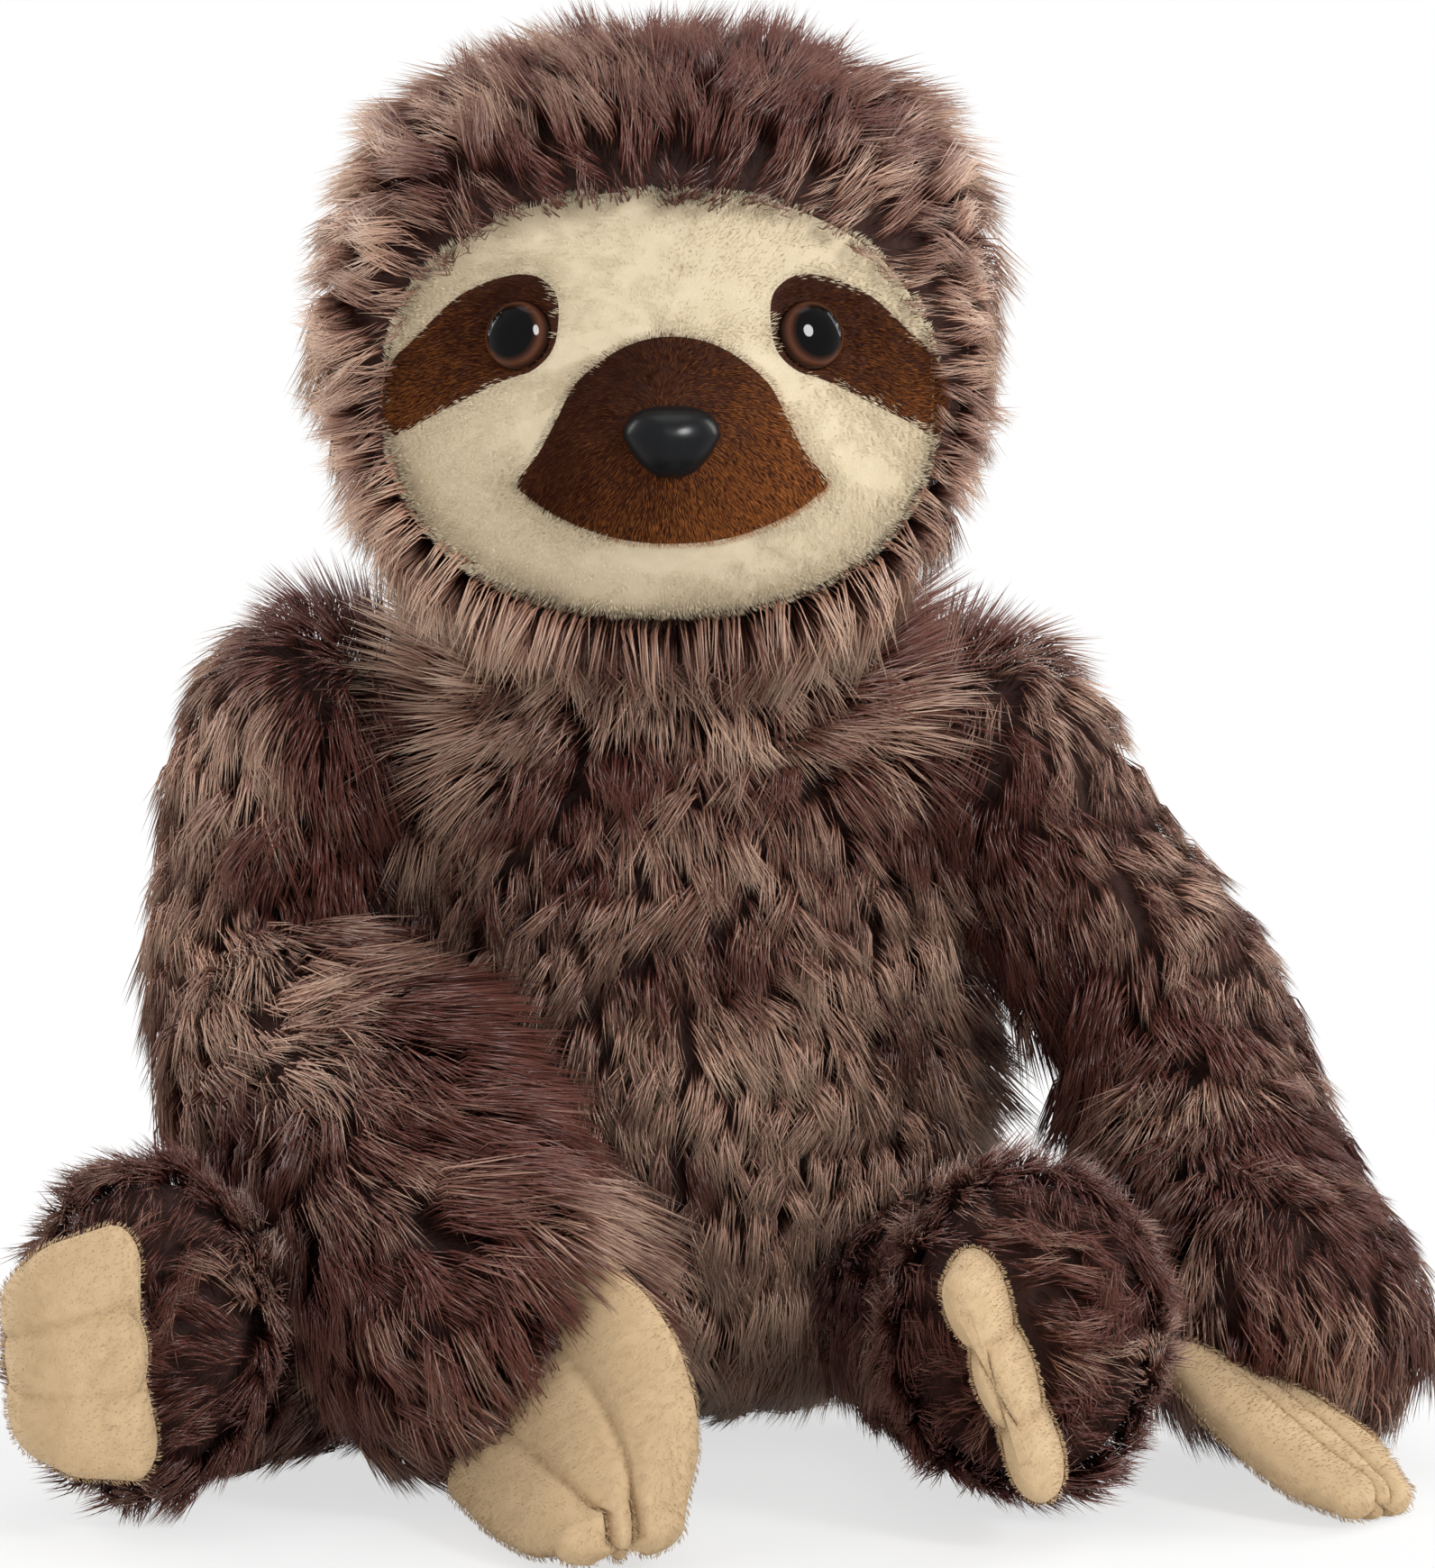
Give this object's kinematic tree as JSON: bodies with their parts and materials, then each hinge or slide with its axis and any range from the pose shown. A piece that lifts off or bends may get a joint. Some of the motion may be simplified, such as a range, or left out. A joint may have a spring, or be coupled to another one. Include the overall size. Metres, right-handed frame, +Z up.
{
  "type": "plush sloth",
  "caption": "Seated plush sloth with long-pile fur, a short-pile face, moulded eyes and nose, long arms and stuffed claw mitts.",
  "frame": {"origin": "centre of the flat seat under the body, on the surface that the toy sits on", "axes": "+Z up, the toy faces -Y, +X is the toy's own left"},
  "size_m": [0.2771, 0.2235, 0.2745],
  "materials": {
    "fur": "long soft pile, dark mauve brown with frosted beige tips",
    "fibre": "loose white fibre filling",
    "pouch": "plain woven bag of plastic pellets",
    "face": "cream short-pile plush",
    "patch": "brown short-pile plush",
    "claw": "tan short-pile plush",
    "eye": "polished, black pupil in a brown ring",
    "nose": "satin charcoal",
    "washer": "plain moulded nylon"
  },
  "bodies": {
    "torso": {"body_cover": "fur", "body_filling": "fibre", "seat_pellet_pouch": "pouch"},
    "neck": {"neck_filling": "fibre"},
    "head": {"head_cover": "fur", "head_filling": "fibre", "face_panel": "face", "muzzle_patch": "patch", "right_eye_patch": "patch", "left_eye_patch": "patch", "right_eye": "eye", "left_eye": "eye", "right_eye_washer": "washer", "left_eye_washer": "washer", "nose": "nose", "nose_washer": "washer"},
    "right_upper_arm": {"right_upper_arm_cover": "fur", "right_upper_arm_filling": "fibre"},
    "right_forearm": {"right_forearm_cover": "fur", "right_forearm_filling": "fibre"},
    "left_upper_arm": {"left_upper_arm_cover": "fur", "left_upper_arm_filling": "fibre"},
    "left_forearm": {"left_forearm_cover": "fur", "left_forearm_filling": "fibre"},
    "right_leg": {"right_leg_cover": "fur", "right_leg_filling": "fibre"},
    "left_leg": {"left_leg_cover": "fur", "left_leg_filling": "fibre"},
    "right_hand_claws": {"right_hand_claw_mitt": "claw", "right_hand_claw_filling": "fibre"},
    "left_hand_claws": {"left_hand_claw_mitt": "claw", "left_hand_claw_filling": "fibre"},
    "right_foot_claws": {"right_foot_claw_mitt": "claw", "right_foot_claw_filling": "fibre"},
    "left_foot_claws": {"left_foot_claw_mitt": "claw", "left_foot_claw_filling": "fibre"}
  },
  "joints": [
    {"name": "head_turn", "type": "hinge", "parent": "torso", "child": "neck", "pos_m": [0, 0, 0.1395], "axis": [0, 0, 1], "range_deg": [-30, 30]},
    {"name": "head_nod", "type": "hinge", "parent": "neck", "child": "head", "pos_m": [0, 0, 0.1395], "axis": [1, 0, 0], "range_deg": [-12, 15]},
    {"name": "right_arm_raise", "type": "hinge", "parent": "torso", "child": "right_upper_arm", "pos_m": [-0.077, 0, 0.141], "axis": [-0.9659, 0, -0.259], "range_deg": [0, 80]},
    {"name": "right_elbow_bend", "type": "hinge", "parent": "right_upper_arm", "child": "right_forearm", "pos_m": [-0.08127, -0.01403, 0.08183], "axis": [-0.8408, -0.5099, 0.182], "range_deg": [0, 20]},
    {"name": "left_arm_raise", "type": "hinge", "parent": "torso", "child": "left_upper_arm", "pos_m": [0.068, 0, 0.135], "axis": [-0.9903, 0, 0.1392], "range_deg": [0, 80]},
    {"name": "left_elbow_bend", "type": "hinge", "parent": "left_upper_arm", "child": "left_forearm", "pos_m": [0.10326, -0.01037, 0.0812], "axis": [-0.9903, 0, 0.1392], "range_deg": [0, 45]},
    {"name": "right_leg_drop", "type": "hinge", "parent": "torso", "child": "right_leg", "pos_m": [-0.05, -0.034, 0.026], "axis": [1, 0, 0], "range_deg": [0, 60]},
    {"name": "left_leg_drop", "type": "hinge", "parent": "torso", "child": "left_leg", "pos_m": [0.05, -0.034, 0.026], "axis": [1, 0, 0], "range_deg": [0, 60]},
    {"name": "right_hand_claws_flop", "type": "hinge", "parent": "right_forearm", "child": "right_hand_claws", "pos_m": [-0.02561, -0.11975, 0.02809], "axis": [-0.5212, 0, -0.8534], "range_deg": [0, 25]},
    {"name": "left_hand_claws_flop", "type": "hinge", "parent": "left_forearm", "child": "left_hand_claws", "pos_m": [0.10863, -0.08596, 0.02057], "axis": [-0.8835, -0.2409, 0.4018], "range_deg": [0, 25]},
    {"name": "right_foot_claws_flop", "type": "hinge", "parent": "right_leg", "child": "right_foot_claws", "pos_m": [-0.12054, -0.122, 0.0353], "axis": [0.029, 0, -0.9996], "range_deg": [0, 25]},
    {"name": "left_foot_claws_flop", "type": "hinge", "parent": "left_leg", "child": "left_foot_claws", "pos_m": [0.06248, -0.1207, 0.03036], "axis": [-0.333, 0, 0.9429], "range_deg": [0, 25]}
  ]
}
